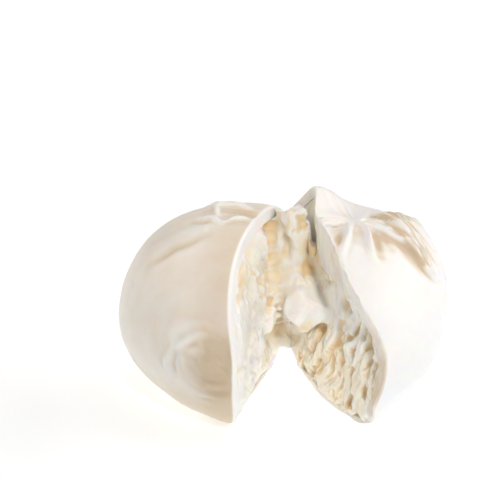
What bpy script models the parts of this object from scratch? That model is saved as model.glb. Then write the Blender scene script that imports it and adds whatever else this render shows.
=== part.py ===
"""A burrata that was cut from the front and opened like a book.

Two pieces: the pouch of stretched curd, and the torn filling of cream and curds inside it.
The ball is first modelled closed, with its crown of pleats, and cut from the front, -Y.
Then each half turns outwards round an upright hinge line just inside the skin of the back.
Metres, +Z up, the flat underside on Z = 0.
"""

import math
import random

import bmesh
import bpy
import numpy as np
from mathutils import Matrix, Vector

MM = 0.001

# The closed ball. It sags, so it is widest below its middle.
BALL_RADIUS = 42.3 * MM
BALL_HEIGHT = 63.8 * MM
WIDEST_HEIGHT = 29.5 * MM
DEPTH_RATIO = 0.975  # front to back against side to side
PLAN_POWER = 0.93  # under 1 makes the side fuller than an ellipse's
TOP_POWER = 1.05
BASE_POWER = 1.03
BASE_SINK = 3.1 * MM  # how far the round underside would reach below the floor that flattens it
# Where the underside is slimmer or fuller: direction in plan in degrees, the cosine off it at
# which that ends, and what it adds to BASE_POWER.
BASE_SHAPES = [(-122, 0.8, 0.2), (-35, 0.75, -0.12)]
CENTRE_X = -3.8 * MM  # the cut runs at X = 0, a little right of the ball's middle
RIGHT_SHOULDER = 0.30  # the share by which the right side stands higher at its far edge
FRONT_LIFT = 0.063  # the share by which the front stands higher than the middle
CROWN_SAG_AT = (19 * MM, 5 * MM)  # the crown sinks in behind the knot
CROWN_SAG = 4.0 * MM
CROWN_SAG_REACH = 15 * MM

# The pouch and the cut.
SKIN = 4.5 * MM
BASE_SKIN = 2.4 * MM
CLEARANCE = 0.4 * MM
KNIFE_HALF = 0.15 * MM
HINGE_Y = 29.4 * MM
RIGID_SWEEP = math.radians(60)  # within this angle of the cut a half turns as one

# How far each half turns, in degrees: at the middle, what the foot adds, and what the top adds.
LEFT_OPENING = (13.4, 7.0, 4.0)
RIGHT_OPENING = (23.5, -4.0, -8.0)
FOOT_HEIGHT = 7 * MM

# The peeled corner of skin at the top of the cut, on the right, and the toe at its foot.
PEAK_AT = (0, 13 * MM)
PEAK_HEIGHT = 6.5 * MM
PEAK_PEEL = 4 * MM
PEAK_REACH = (14 * MM, 8 * MM)
TOE_FORWARD = 4.2 * MM
TOE_TURN = math.radians(6)
TOE_HEIGHT = 8 * MM
TOE_WIDTH = 10 * MM

# The solid neck of twisted curd under the crown, right of the cut: its underside as (y, z)
# where it is cut, how far it reaches from the cut, and how far it rises there.
NECK = [
    (-46, 14), (-41, 23), (-38, 28), (-35.4, 32.2), (-31.4, 38.2), (-26.4, 43.0), (-20, 45.6),
    (-12, 46.0), (-4, 45.2), (1, 44.8), (4, 47.2), (6.4, 52), (8.4, 60), (9.8, 70), (11, 90),
]
NECK_REACH = 28 * MM
NECK_RISE = 32 * MM
NECK_STEPS = 5

# Ridges and valleys of the crown: points in plan, half-width, and height or depth. The knot
# is at the middle of those right of the cut, and the others are the folded flap left of it.
KNOT = (12.7 * MM, -4 * MM)
CROWN = [
    ([(8.9, -7.0), (6.0, -14.0), (1.5, -23.0)], 1.6, 1.9),
    ([(3.6, -11.0), (2.8, -20.0)], 2.2, -1.9),
    ([(10.6, -10.0), (8.0, -17.0)], 2.2, -1.3),
    ([(13.1, -7.8), (12.6, -15.0), (10.7, -24.0)], 1.5, 1.8),
    ([(15.4, -9.5), (15.2, -15.0), (13.6, -23.0)], 1.9, -2.0),
    ([(17.4, -14.0), (19.6, -19.0), (21.2, -23.5)], 2.4, -3.2),
    ([(15.0, -4.6), (19.8, -7.8)], 1.8, -2.0),
    ([(1.5, -1.6), (11.0, -3.6)], 1.8, -1.2),
    ([(12.3, -4.6), (13.2, -3.4)], 1.8, 2.0),
    ([(14.5, -1.0), (15.5, 8.0)], 2.2, 1.0),
    ([(-19.2, 9.3), (-9.9, 6.8), (-4.7, 5.4)], 1.8, 1.5),
    ([(-16.0, 6.5), (-12.6, -4.2)], 1.6, 1.2),
    ([(-10.5, 2.2), (-2.5, -0.6)], 3.0, -2.6),
    ([(-17.2, -5.6), (-9.3, -9.2)], 1.7, 1.4),
    ([(-18.4, -7.6), (-15.0, -8.6)], 1.8, -1.6),
    ([(-8.6, -7.8), (-3.2, -4.6), (-1.0, -3.8)], 1.6, 1.3),
    ([(-11.8, -15.2), (-29.4, -20.7)], 2.0, -0.7),
]

# The fan of fibres over the right shoulder: its left edge as (y, x) and its front edge as
# (x, y) in plan.
FAN_LEFT = [(2, 19.0), (-3, 20.4), (-12, 21.6), (-19, 23.0), (-23, 25.0), (-26, 28.0)]
FAN_FRONT = [(24, -26.0), (28, -24.6), (31, -21.5), (34, -17.0)]
FAN_HEIGHT = 2.2 * MM

# The dimple low on the left half's front, and the lip over it.
DIMPLE_AT = np.array([-9, -41, 31.5]) * MM
DIMPLE_RADIUS = 10 * MM
DIMPLE_DEPTH = 3.2 * MM
LIP_AT = np.array([-14.5, -39, 39.5]) * MM
LIP_RADIUS = 5.5 * MM
LIP_HEIGHT = 1.6 * MM

# The filling. Torn curd closes the back of the cut: height, and how far from the hinge line
# its front stands at its left and its right side.
WALL = [
    (1.5, 3.5, 3.5),
    (8, 7, 7),
    (16, 11, 11),
    (26, 14.5, 14.5),
    (36, 16, 14),
    (46, 17, 12.5),
    (57, 17, 13),
]
WALL_OVERLAP = 1.2 * MM
WALL_GAP = 0.6 * MM
WALL_LEVELS = 20
WALL_START = 2.4 * MM  # nearer the hinge line the cut is too narrow for it

# Curds that show singly: side, reach, height, then half-width, half-length and lean in degrees,
# and how far the middle stands out of the cut.
NAMED_CURDS = [
    (-1, 41.5, 40.5, 5.6, 5.6, 0, -1.0),
    (-1, 33.0, 27.5, 4.8, 5.2, 0, 0.0),
    (-1, 53.0, 33.0, 7.0, 9.0, -30, -2.0),
    (-1, 24.0, 47.0, 4.0, 6.0, 15, -0.3),
    (-1, 19.0, 38.0, 3.2, 7.6, 40, 0.5),
    (-1, 50.0, 11.0, 6.0, 3.6, 0, -2.0),
]

# Lumps on the back wall: centre and radii.
WALL_LUMPS = [
    ((4.0, 8.2, 28.0), (8.0, 6.5, 7.7)),
    ((-0.9, 16.0, 55.5), (2.2, 3.0, 4.2)),
    ((2.6, 15.6, 57.6), (2.8, 3.0, 4.2)),
    ((-0.6, 15.2, 20.0), (3.4, 2.6, 4.0)),
    ((1.2, 19.5, 9.5), (1.8, 2.2, 3.2)),
]

# Hollows torn into the filling: centre and radii.
PITS = [
    ((5.8, 15.0, 45.0), (2.2, 5.0, 8.0)),
    ((1.5, 14.5, 17.0), (4.5, 3.6, 2.2)),
]

# Curds strewn over the two faces of the cut.
CURD_SPACING = 7.0 * MM
CURD_RADIUS = (2.6 * MM, 4.2 * MM)
CURD_STRETCH = {-1: (1.0, 1.6), 1: (1.3, 2.3)}
CURD_LEAN = {-1: (-0.6, 0.6), 1: (-0.1, 0.6)}
SEED = 7

# The opened ball's middle in plan, which becomes the origin.
ORIGIN = (-1.38 * MM, 1.36 * MM)

# Mesh density.
OUTER_SEGMENTS, OUTER_RINGS = 60, 30
INNER_SEGMENTS, INNER_RINGS = 36, 18
CROWN_CROWDING = 1.35
KNIFE_STEPS = 10


def smoothstep(t):
    t = np.clip(t, 0.0, 1.0)
    return t * t * (3 - 2 * t)


def crowded(unit):
    """Draws the rings of a sphere up towards its crown, where the pleats need them."""
    down = np.arccos(np.clip(unit[:, 2], -1, 1)) / math.pi
    polar = math.pi * down ** CROWN_CROWDING
    plan = np.maximum(np.hypot(unit[:, 0], unit[:, 1]), 1e-9)
    ring = np.where((down > 1e-6) & (down < 1 - 1e-6), np.sin(polar), 0) / plan
    return np.column_stack([unit[:, 0] * ring, unit[:, 1] * ring, np.cos(polar)])


def closed_ball(unit, inset=0.0, base_inset=0.0):
    """Points on the closed ball, or on a surface drawn in from it, for unit directions."""
    plan = np.hypot(unit[:, 0], unit[:, 1])
    toward = unit[:, :2] / np.maximum(plan, 1e-9)[:, None]
    rise = unit[:, 2]
    radius = (BALL_RADIUS - inset) * plan**PLAN_POWER
    above = (BALL_HEIGHT - WIDEST_HEIGHT - inset) * np.maximum(rise, 0) ** TOP_POWER
    power = np.full(len(unit), BASE_POWER)
    for angle, fade, more in BASE_SHAPES:
        way = np.array((math.cos(math.radians(angle)), math.sin(math.radians(angle))))
        power += more * smoothstep((toward @ way - fade) / (1 - fade))
    below = (WIDEST_HEIGHT + BASE_SINK - base_inset) * np.maximum(-rise, 0) ** power
    z = np.maximum(WIDEST_HEIGHT + above - below, base_inset)
    x, y = (toward * radius[:, None]).T
    shoulder = RIGHT_SHOULDER * (np.maximum(x, 0) / BALL_RADIUS) ** 2
    x, y = x + CENTRE_X, y * DEPTH_RATIO
    z += (z - base_inset) * (shoulder - FRONT_LIFT * y / BALL_RADIUS)
    away = np.hypot(x - CROWN_SAG_AT[0], y - CROWN_SAG_AT[1]) / CROWN_SAG_REACH
    z -= CROWN_SAG * np.exp(-(away**2)) * smoothstep(z / BALL_HEIGHT * 2 - 0.8)
    return np.column_stack([x, y, z])


def crease(x, y, line, half_width, height):
    """A ridge or a valley along a line of points in plan, fading out at both ends."""
    line = [np.array(p) * MM for p in line]
    away = np.full(len(x), BALL_RADIUS)
    for (ax, ay), (bx, by) in zip(line[:-1], line[1:]):
        length = math.hypot(bx - ax, by - ay)
        t = np.clip(((x - ax) * (bx - ax) + (y - ay) * (by - ay)) / length**2, 0, 1)
        away = np.minimum(away, np.hypot(x - ax - t * (bx - ax), y - ay - t * (by - ay)))
    ridge = height * MM * np.exp(-((away / (half_width * MM)) ** 2))
    for end in (line[0], line[-1]):
        near = np.hypot(x - end[0], y - end[1]) / (2.2 * half_width * MM)
        ridge *= 1 - 0.7 * np.exp(-(near**2))
    return ridge


def fan_share(x, y):
    """1 on the fan of fibres right of the knot, 0 away from it."""
    left = np.interp(-y, *np.array([(-v, u) for v, u in FAN_LEFT]).T * MM)
    front = np.interp(x, *np.array(FAN_FRONT).T * MM)
    share = smoothstep((x - left) / (1.4 * MM)) * smoothstep((y - front) / (2.4 * MM))
    return share * smoothstep((5 * MM - y) / (7 * MM)) * smoothstep((39 * MM - x) / (11 * MM))


def relief(points):
    """How far the pouch's outside stands proud of the plain ball, along its normal."""
    x, y, z = points.T
    out = FAN_HEIGHT * fan_share(x, y)
    for line, half_width, height in CROWN:
        side = 1 if line[-1][0] > 0 else -1
        out += crease(x, y, line, half_width, height) * smoothstep(side * x / (2 * MM) + 0.4)
    out *= smoothstep((z - 0.55 * BALL_HEIGHT) / (0.15 * BALL_HEIGHT))
    for centre, radius, height in (
        (DIMPLE_AT, DIMPLE_RADIUS, -DIMPLE_DEPTH),
        (LIP_AT, LIP_RADIUS, LIP_HEIGHT),
    ):
        away = np.linalg.norm(points - centre, axis=1)
        out += height * smoothstep(1.4 - away / radius) * smoothstep(-x / (3 * MM))
    return out


def opening_at(z):
    """How far the left and the right half turn at a height."""
    foot = np.exp(-np.maximum(z, 0) / FOOT_HEIGHT)
    top = smoothstep((z / BALL_HEIGHT - 0.5) * 2)
    middle_foot_top = (LEFT_OPENING, RIGHT_OPENING)
    return [np.radians(m + f * foot + t * top) for m, f, t in middle_foot_top]


def open_up(points):
    """Turns each half of the cut ball outwards round the hinge line. On the right the top of
    the cut edge peels up and its foot slides forward."""
    x, y, z = points.T.copy()
    right = x > 0.3 * KNIFE_HALF
    along = ((x - PEAK_AT[0]) / PEAK_REACH[0]) ** 2 + ((y - PEAK_AT[1]) / PEAK_REACH[1]) ** 2
    peak = right * np.exp(-along) * smoothstep((z / BALL_HEIGHT - 0.5) * 3)
    toe = right * np.exp(-((z / TOE_HEIGHT) ** 2) - (x / TOE_WIDTH) ** 2)
    toe *= smoothstep(-y / (0.5 * BALL_RADIUS))
    z += PEAK_HEIGHT * peak
    reach = np.hypot(x, y - HINGE_Y) + TOE_FORWARD * toe
    sweep = np.arctan2(x, HINGE_Y - y)
    left, right = opening_at(z)
    kept = 1 - smoothstep((np.abs(sweep) - RIGID_SWEEP) / (math.pi - RIGID_SWEEP))
    sweep += np.where(sweep > 0, right + TOE_TURN * toe, -left) * kept
    sweep += PEAK_PEEL * peak / np.maximum(reach, 5 * MM)
    return np.column_stack([reach * np.sin(sweep), HINGE_Y - reach * np.cos(sweep), z])


def face_frame(side, reach, z):
    """A point on a face of the cut, and the directions along it and out of it, in plan."""
    left, right = opening_at(z)
    turn = right if side > 0 else -left
    along = Vector((math.sin(turn), -math.cos(turn), 0))
    out = Vector((-math.cos(turn), -math.sin(turn), 0)) * side
    return Vector((0, HINGE_Y, z)) + along * reach, along, out


def mesh_points(mesh):
    points = np.empty(len(mesh.vertices) * 3)
    mesh.vertices.foreach_get("co", points)
    return points.reshape(-1, 3)


def move_points(mesh, points):
    mesh.vertices.foreach_set("co", points.astype(np.float32).ravel())
    mesh.update()


def mesh_from(bm, name):
    mesh = bpy.data.meshes.new(name)
    bm.to_mesh(mesh)
    bm.free()
    return mesh


def new_object(name, mesh, collection):
    obj = bpy.data.objects.new(name, mesh)
    collection.objects.link(obj)
    return obj


def material(name, colour, roughness):
    made = bpy.data.materials.new(name)
    made.use_nodes = True
    shader = made.node_tree.nodes["Principled BSDF"]
    shader.inputs["Base Color"].default_value = (*colour, 1)
    shader.inputs["Roughness"].default_value = roughness
    shader.inputs["Metallic"].default_value = 0
    return made


def refine(bm):
    """Splits the edges of a unit sphere that fall among the pleats or in the dimple."""
    unit = np.array([v.co for v in bm.verts])
    points = closed_ball(crowded(unit))
    knot = np.hypot(points[:, 0] - KNOT[0] - 3 * MM, points[:, 1] - KNOT[1] + 6 * MM)
    fine = (knot < 18 * MM) & (points[:, 2] > BALL_HEIGHT / 2)
    fine |= np.linalg.norm(points - DIMPLE_AT, axis=1) < 15 * MM
    edges = [e for e in bm.edges if fine[e.verts[0].index] and fine[e.verts[1].index]]
    bmesh.ops.subdivide_edges(bm, edges=edges, cuts=1, use_grid_fill=True)
    bmesh.ops.triangulate(bm, faces=bm.faces)
    for v in bm.verts:
        v.co.normalize()


def ball(name, segments, rings, collection, inset=0.0, base_inset=0.0, pleated=False):
    """A closed ball drawn in by inset. Its faces are split first, so that two balls of the
    same density lie parallel all over."""
    bm = bmesh.new()
    bmesh.ops.create_uvsphere(bm, u_segments=segments, v_segments=rings, radius=1)
    bmesh.ops.triangulate(bm, faces=bm.faces)
    if pleated:
        refine(bm)
    mesh = mesh_from(bm, name)
    unit = crowded(mesh_points(mesh))
    points = closed_ball(unit, inset, base_inset)
    if pleated:
        points += unit * relief(points)[:, None]
    move_points(mesh, points)
    return new_object(name, mesh, collection)


def neck(grow, collection):
    """The block of solid curd from the neck's underside up through the crown."""
    bm = bmesh.new()
    rows = []
    for y, z in NECK:
        rows.append([])
        for step in range(NECK_STEPS + 1):
            share = step / NECK_STEPS
            x = NECK_REACH * share - KNIFE_HALF / 3
            rows[-1].append(bm.verts.new((x, y * MM, z * MM + NECK_RISE * share**3)))
    for low, high in zip(rows[:-1], rows[1:]):
        for i in range(NECK_STEPS):
            bm.faces.new((low[i], high[i], high[i + 1], low[i + 1]))
    bmesh.ops.triangulate(bm, faces=bm.faces)
    bm.normal_update()
    for v in bm.verts:
        v.co += v.normal * grow
    for row in rows:
        row[0].co.x = -KNIFE_HALF / 3
    grown = bmesh.ops.extrude_face_region(bm, geom=bm.faces[:])
    for v in grown["geom"]:
        if isinstance(v, bmesh.types.BMVert):
            v.co.z = 2 * BALL_HEIGHT
    bmesh.ops.recalc_face_normals(bm, faces=bm.faces)
    return new_object("neck", mesh_from(bm, "neck"), collection)


def knife(collection):
    """A thin upright wedge from well in front of the ball to the hinge line. Its sides are
    split into cells, so that the faces it cuts can twist as the ball opens."""
    bm = bmesh.new()
    bmesh.ops.create_grid(bm, x_segments=KNIFE_STEPS, y_segments=KNIFE_STEPS, size=0.5)
    front, top = -1.3 * BALL_RADIUS, 1.4 * BALL_HEIGHT
    for v in bm.verts:
        along, up = v.co.x + 0.5, v.co.y + 0.5
        v.co = (0, HINGE_Y + (front - HINGE_Y) * along, -0.1 * top + 1.1 * top * up)
    grown = bmesh.ops.extrude_face_region(bm, geom=bm.faces[:])
    moved = [v for v in grown["geom"] if isinstance(v, bmesh.types.BMVert)]
    for v in moved:
        v.co.x = KNIFE_HALF
    for v in set(bm.verts) - set(moved):
        v.co.x = -KNIFE_HALF
    for v in bm.verts:
        if v.co.y > HINGE_Y - 1e-6:
            v.co.x = 0
    bmesh.ops.remove_doubles(bm, verts=bm.verts, dist=1e-6)
    bmesh.ops.recalc_face_normals(bm, faces=bm.faces)
    return new_object("knife", mesh_from(bm, "knife"), collection)


def inner_outline():
    """The filling's outline on the cut plane, as points (reach from the hinge, height)."""
    turns = np.linspace(0, 2 * math.pi, 181)
    unit = np.column_stack([np.zeros(len(turns)), -np.cos(turns), np.sin(turns)])
    y, z = closed_ball(unit, SKIN + CLEARANCE, BASE_SKIN + CLEARANCE)[:, 1:].T
    return np.column_stack([HINGE_Y - y, z])


def room_at(outline, side, reach, z):
    """How far a spot on a face of the cut is from the skin and the neck, inside them."""
    room = np.hypot(outline[:, 0] - reach, outline[:, 1] - z).min()
    room *= 1 if is_inside(outline, reach, z) else -1
    if side > 0:
        y = np.linspace(NECK[0][0], NECK[-1][0], 200)
        under = np.interp(y, *np.array(NECK).T) * MM
        away = np.hypot(HINGE_Y - reach - y * MM, z - under).min()
        is_below = z < np.interp(HINGE_Y - reach, y * MM, under)
        room = min(room, (away if is_below else -away) - CLEARANCE)
    return room


def curd(centre, radii, axes, collection):
    """One lump of curd: a coarse ball stretched along three axes."""
    bm = bmesh.new()
    bmesh.ops.create_icosphere(bm, subdivisions=1, radius=1)
    turned = Matrix([axis * radius for axis, radius in zip(axes, radii)]).transposed()
    bmesh.ops.transform(bm, matrix=Matrix.Translation(centre) @ turned.to_4x4(), verts=bm.verts)
    bmesh.ops.recalc_face_normals(bm, faces=bm.faces)
    return new_object("curd", mesh_from(bm, "curd"), collection)


def curd_on_face(side, reach, z, size, stretch, lean, proud, outline, collection):
    """A curd on a face of the cut, if there is room for it inside the skin."""
    room = room_at(outline, side, reach, z)
    if room < 0.6 * CURD_RADIUS[0]:
        return
    size = min(size, 0.92 * room)
    stretch = min(stretch, 0.92 * room / size)
    proud = min(proud, 0.25 * size)
    spot, along, out = face_frame(side, reach, z)
    up = (Vector((0, 0, 1)) + along * math.tan(lean)).normalized()
    across = up.cross(out).normalized()
    radii = (size, size * 0.85, size * stretch)
    curd(spot + out * proud, radii, (across, out, up), collection)


def face_curds(side, collection, rng):
    """Curds over one face of the cut, on a jittered grid."""
    outline = inner_outline()
    named = [c for c in NAMED_CURDS if c[0] == side]
    for _, reach, z, width, length, lean, proud in named:
        place = (side, reach * MM, z * MM, width * MM, length / width)
        curd_on_face(*place, math.radians(lean), proud * MM, outline, collection)
    farthest, highest = outline.max(axis=0)
    for row in range(int(highest / CURD_SPACING) + 1):
        for column in range(int(farthest / CURD_SPACING) + 1):
            reach = (column + 0.5 * (row % 2) + rng.uniform(-0.25, 0.25)) * CURD_SPACING
            z = (row + rng.uniform(-0.25, 0.25)) * CURD_SPACING
            size = rng.uniform(*CURD_RADIUS)
            stretch = rng.uniform(*CURD_STRETCH[side])
            lean = rng.uniform(*CURD_LEAN[side])
            proud = size * rng.uniform(-0.25, 0.3)
            near = [c for c in named if math.hypot(reach - c[1] * MM, z - c[2] * MM) < c[3] * MM]
            if reach < 9 * MM or near:
                continue
            curd_on_face(side, reach, z, size, stretch, lean, proud, outline, collection)


def back_wall(collection):
    """The torn curd between the halves: a wedge from the hinge line forward. Inside the skin it
    overlaps the filling of both halves, and beyond it it keeps clear of the skin's cut edge."""
    outline = inner_outline()
    heights, *depths = np.array(WALL).T * MM
    levels = np.linspace(heights[0], heights[-1], WALL_LEVELS)
    shares = (0.06, 0.35, 0.7, 1.0)
    bm = bmesh.new()
    rings = []
    for z in levels:
        sides = {}
        for side, side_depths in zip((-1, 1), depths):
            depth = np.interp(z, heights, side_depths)
            sides[side] = []
            for share in shares:
                reach = depth * share
                room = room_at(outline, side, reach, z)
                blend = float(smoothstep((room - 0.8 * MM) / (1.6 * MM)))
                reach = max(reach, WALL_START * (1 - blend))
                shift = -WALL_GAP + (WALL_OVERLAP + WALL_GAP) * blend
                spot, _, out = face_frame(side, reach, z)
                spot -= out * shift
                if spot.x * side < 0.05 * MM:
                    spot.x = 0.05 * MM * side
                sides[side].append(spot)
        middle = (sides[-1][-1] + sides[1][-1]) / 2 - Vector((0, 1.2 * MM, 0))
        ring = sides[-1] + [middle] + sides[1][::-1]
        rings.append([bm.verts.new(v) for v in ring])
    for low, high in zip(rings[:-1], rings[1:]):
        for i in range(len(low)):
            j = (i + 1) % len(low)
            bm.faces.new((low[i], low[j], high[j], high[i]))
    bm.faces.new(rings[0][::-1])
    bm.faces.new(rings[-1])
    bmesh.ops.triangulate(bm, faces=bm.faces)
    bmesh.ops.recalc_face_normals(bm, faces=bm.faces)
    return new_object("wall", mesh_from(bm, "wall"), collection)


def is_inside(outline, reach, z):
    """Whether a point is inside a closed outline, by the number of sides it lies left of."""
    inside = False
    for (r0, z0), (r1, z1) in zip(outline[:-1], outline[1:]):
        if (z0 > z) != (z1 > z) and reach < r0 + (z - z0) / (z1 - z0) * (r1 - r0):
            inside = not inside
    return inside


def boolean(obj, operation, cutter=None, collection=None, solver="EXACT"):
    modifier = obj.modifiers.new(operation.title(), "BOOLEAN")
    modifier.operation = operation
    modifier.solver = solver
    if collection:
        modifier.operand_type = "COLLECTION"
        modifier.collection = collection
    else:
        modifier.object = cutter


def apply_modifiers(obj):
    graph = bpy.context.evaluated_depsgraph_get()
    mesh = bpy.data.meshes.new_from_object(obj.evaluated_get(graph))
    obj.modifiers.clear()
    obj.data = mesh


def main():
    for obj in list(bpy.data.objects):
        bpy.data.objects.remove(obj)
    scene = bpy.context.scene.collection
    parts = bpy.data.collections.new("burrata")
    cutters = bpy.data.collections.new("cutters")
    scene.children.link(parts)
    scene.children.link(cutters)

    blade = knife(cutters)
    inner = (INNER_SEGMENTS, INNER_RINGS)
    pouch = ball("pouch", OUTER_SEGMENTS, OUTER_RINGS, parts, pleated=True)
    hollow = ball("hollow", *inner, cutters, SKIN, BASE_SKIN)
    filling = ball("filling", *inner, parts, SKIN + CLEARANCE, BASE_SKIN + CLEARANCE)
    necks = [neck(0, cutters), neck(CLEARANCE, cutters)]
    boolean(hollow, "DIFFERENCE", necks[0])
    boolean(filling, "DIFFERENCE", necks[1])
    boolean(pouch, "DIFFERENCE", hollow)
    boolean(pouch, "DIFFERENCE", blade)
    boolean(filling, "DIFFERENCE", blade)
    for obj in (pouch, filling):
        apply_modifiers(obj)
        move_points(obj.data, open_up(mesh_points(obj.data)))
    for obj in (hollow, blade, *necks):
        bpy.data.objects.remove(obj)

    rng = random.Random(SEED)
    curds = bpy.data.collections.new("curds")
    scene.children.link(curds)
    back_wall(curds)
    upright = (Vector((1, 0, 0)), Vector((0, 1, 0)), Vector((0, 0, 1)))
    for centre, radii in WALL_LUMPS:
        curd(Vector(centre) * MM, Vector(radii) * MM, upright, curds)
    for centre, radii in PITS:
        curd(Vector(centre) * MM, Vector(radii) * MM, upright, cutters)
    for side in (-1, 1):
        face_curds(side, curds, rng)
    boolean(filling, "UNION", collection=curds, solver="MANIFOLD")
    boolean(filling, "DIFFERENCE", collection=cutters, solver="MANIFOLD")
    apply_modifiers(filling)
    for obj in list(curds.objects) + list(cutters.objects):
        bpy.data.objects.remove(obj)

    for obj in (pouch, filling):
        move_points(obj.data, mesh_points(obj.data) - (*ORIGIN, 0))
    pouch.data.shade_smooth()
    pouch.data.set_sharp_from_angle(angle=math.radians(40))
    pouch.data.materials.append(material("pouch_skin", (0.93, 0.90, 0.84), 0.4))
    filling.data.materials.append(material("cream_curds", (0.95, 0.90, 0.76), 0.45))


main()
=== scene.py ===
"""Looks of the opened burrata: the pouch with its fine pleats, and the torn filling."""

import itertools
import math

import bmesh
import bpy
import numpy as np
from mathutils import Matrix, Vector


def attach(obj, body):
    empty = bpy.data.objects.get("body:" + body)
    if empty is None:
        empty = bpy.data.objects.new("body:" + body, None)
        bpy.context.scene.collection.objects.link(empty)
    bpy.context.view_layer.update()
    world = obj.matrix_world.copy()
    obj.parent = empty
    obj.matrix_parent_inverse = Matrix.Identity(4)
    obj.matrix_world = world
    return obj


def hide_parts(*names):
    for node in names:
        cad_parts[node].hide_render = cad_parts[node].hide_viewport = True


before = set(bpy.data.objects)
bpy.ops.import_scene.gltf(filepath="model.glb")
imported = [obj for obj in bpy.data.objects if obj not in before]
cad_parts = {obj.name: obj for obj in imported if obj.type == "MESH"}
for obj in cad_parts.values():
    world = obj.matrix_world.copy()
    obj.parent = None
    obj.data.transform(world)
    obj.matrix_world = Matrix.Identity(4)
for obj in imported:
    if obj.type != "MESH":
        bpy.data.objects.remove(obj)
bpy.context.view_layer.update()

MM = 0.001

# The form, as in the solids. The lists here and below are in millimetres.
BALL_RADIUS = 42.3 * MM
BALL_HEIGHT = 63.8 * MM
WIDEST_HEIGHT = 29.5 * MM
DEPTH_RATIO = 0.975
PLAN_POWER = 0.93
TOP_POWER = 1.05
BASE_POWER = 1.03
BASE_SINK = 3.1 * MM
# Where the underside is drawn in or fuller: direction in plan, narrowness, change of its power.
BASE_SHAPES = [(-122, 0.8, 0.2), (-35, 0.75, -0.12)]
CENTRE_X = -3.8 * MM
RIGHT_SHOULDER = 0.30
FRONT_LIFT = 0.063
# The hollow in which the crown lies.
CROWN_SAG_AT = (19 * MM, 5 * MM)
CROWN_SAG = 4.0 * MM
CROWN_SAG_REACH = 15 * MM
SKIN = (3.7 * MM, 4.5 * MM)  # the skin's thickness left of the cut and right of it
BASE_SKIN = 1.3 * MM
KNIFE_HALF = 0.15 * MM
HINGE_Y = 29.4 * MM
RIGID_SWEEP = math.radians(60)
# How far each half turns, in degrees: at half height, and what is added at its foot and its top.
LEFT_OPENING = (13.4, 7.0, 4.0)
RIGHT_OPENING = (23.5, -4.0, -8.0)
FOOT_HEIGHT = 7 * MM
# The corner at the top of the cut that is pulled up and peeled back.
PEAK_AT = (0, 13 * MM)
PEAK_HEIGHT = 6.5 * MM
PEAK_PEEL = 4 * MM
PEAK_REACH = (14 * MM, 8 * MM)
# The front foot of the right half, which is pushed forward and turned.
TOE_FORWARD = 4.2 * MM
TOE_TURN = math.radians(6)
TOE_HEIGHT = 8 * MM
TOE_WIDTH = 10 * MM
# The middle of the opened ball's box in plan, which becomes the origin.
ORIGIN = np.array((-1.38, 1.36, 0)) * MM
# The solid neck of curd right of the cut: its underside as (y, z), its reach and its rise.
NECK = [
    (-46, 14), (-41, 23), (-38, 28), (-35.4, 32.2), (-31.4, 38.2), (-26.4, 43.0), (-20, 45.6),
    (-12, 46.0), (-4, 45.2), (1, 44.8), (4, 47.2), (6.4, 52), (8.4, 60), (9.8, 70), (11, 90),
]
NECK_REACH = 28 * MM
NECK_RISE = 32 * MM

# Ridges and valleys of the crown, each as points in plan, its half-width and its height.
CROWN = [
    ([(8.9, -7.0), (6.0, -14.0), (1.5, -23.0)], 1.15, 1.7),
    ([(3.4, -11.0), (2.4, -20.0)], 1.8, -1.9),
    ([(10.6, -10.0), (8.0, -17.0)], 2.0, -1.3),
    ([(13.1, -7.8), (12.6, -15.0), (10.7, -24.0)], 0.95, 1.4),
    ([(14.9, -9.5), (14.8, -15.0), (13.2, -23.0)], 1.4, -1.8),
    ([(19.4, -14.8), (21.8, -18.4), (24.2, -22.0)], 2.1, -2.6),
    ([(16.8, -13.0), (17.6, -17.5), (17.4, -20.5)], 1.5, -1.6),
    ([(14.6, -7.0), (17.8, -11.2), (21.0, -14.8), (23.8, -17.4), (26.0, -20.4)], 0.9, 1.4),
    ([(15.0, -4.6), (19.8, -7.8)], 1.2, -1.8),
    ([(1.5, -1.0), (6.0, -1.6), (11.0, -3.0)], 0.9, -0.9),
    ([(0.5, -5.6), (4.0, -6.0), (9.0, -5.8)], 0.8, 1.0),
    ([(1.0, -3.4), (5.0, -3.8), (10.4, -4.2)], 0.6, 0.8),
    ([(2.0, -8.2), (6.5, -8.2)], 0.9, -1.1),
    ([(12.3, -4.6), (13.2, -3.4)], 1.2, 1.6),
    ([(13.6, -2.8), (16.6, -1.0)], 0.7, 1.0),
    ([(12.0, -1.5), (10.0, 6.0)], 1.4, -0.4),
    ([(14.5, -1.0), (15.5, 8.0)], 1.8, 0.4),
    ([(17.0, -2.0), (22.0, 6.0)], 1.6, -0.6),
    ([(-19.2, 9.3), (-15.0, 7.4), (-9.9, 6.8), (-4.7, 5.4)], 1.0, 1.5),
    ([(-16.0, 6.5), (-14.2, 1.0), (-12.6, -4.2)], 0.8, 1.2),
    ([(-16.2, -1.0), (-15.2, -3.4)], 1.5, -1.4),
    ([(-17.2, -5.6), (-12.8, -6.8), (-9.3, -9.2)], 0.9, 1.3),
    ([(-18.4, -7.6), (-15.0, -8.6)], 1.3, -1.5),
    ([(-8.6, -7.8), (-6.7, -6.4), (-3.2, -4.6), (-1.0, -3.8)], 0.8, 1.2),
    ([(-10.5, 2.2), (-5.0, 0.6), (-2.5, -0.6)], 2.6, -1.8),
    ([(-11.8, -15.2), (-18.5, -19.3), (-29.4, -20.7)], 1.5, -0.7),
    ([(-14.0, -11.5), (-24.0, -14.0)], 2.2, 0.4),
]
# Painted shade in the crown's valleys and painted light on its ridges: how much wider than the
# fold, the height that gives a tone of 1, and the most tone.
CROWN_FOLD_SHADING = (1.2, 2.0, 1.2)
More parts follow.
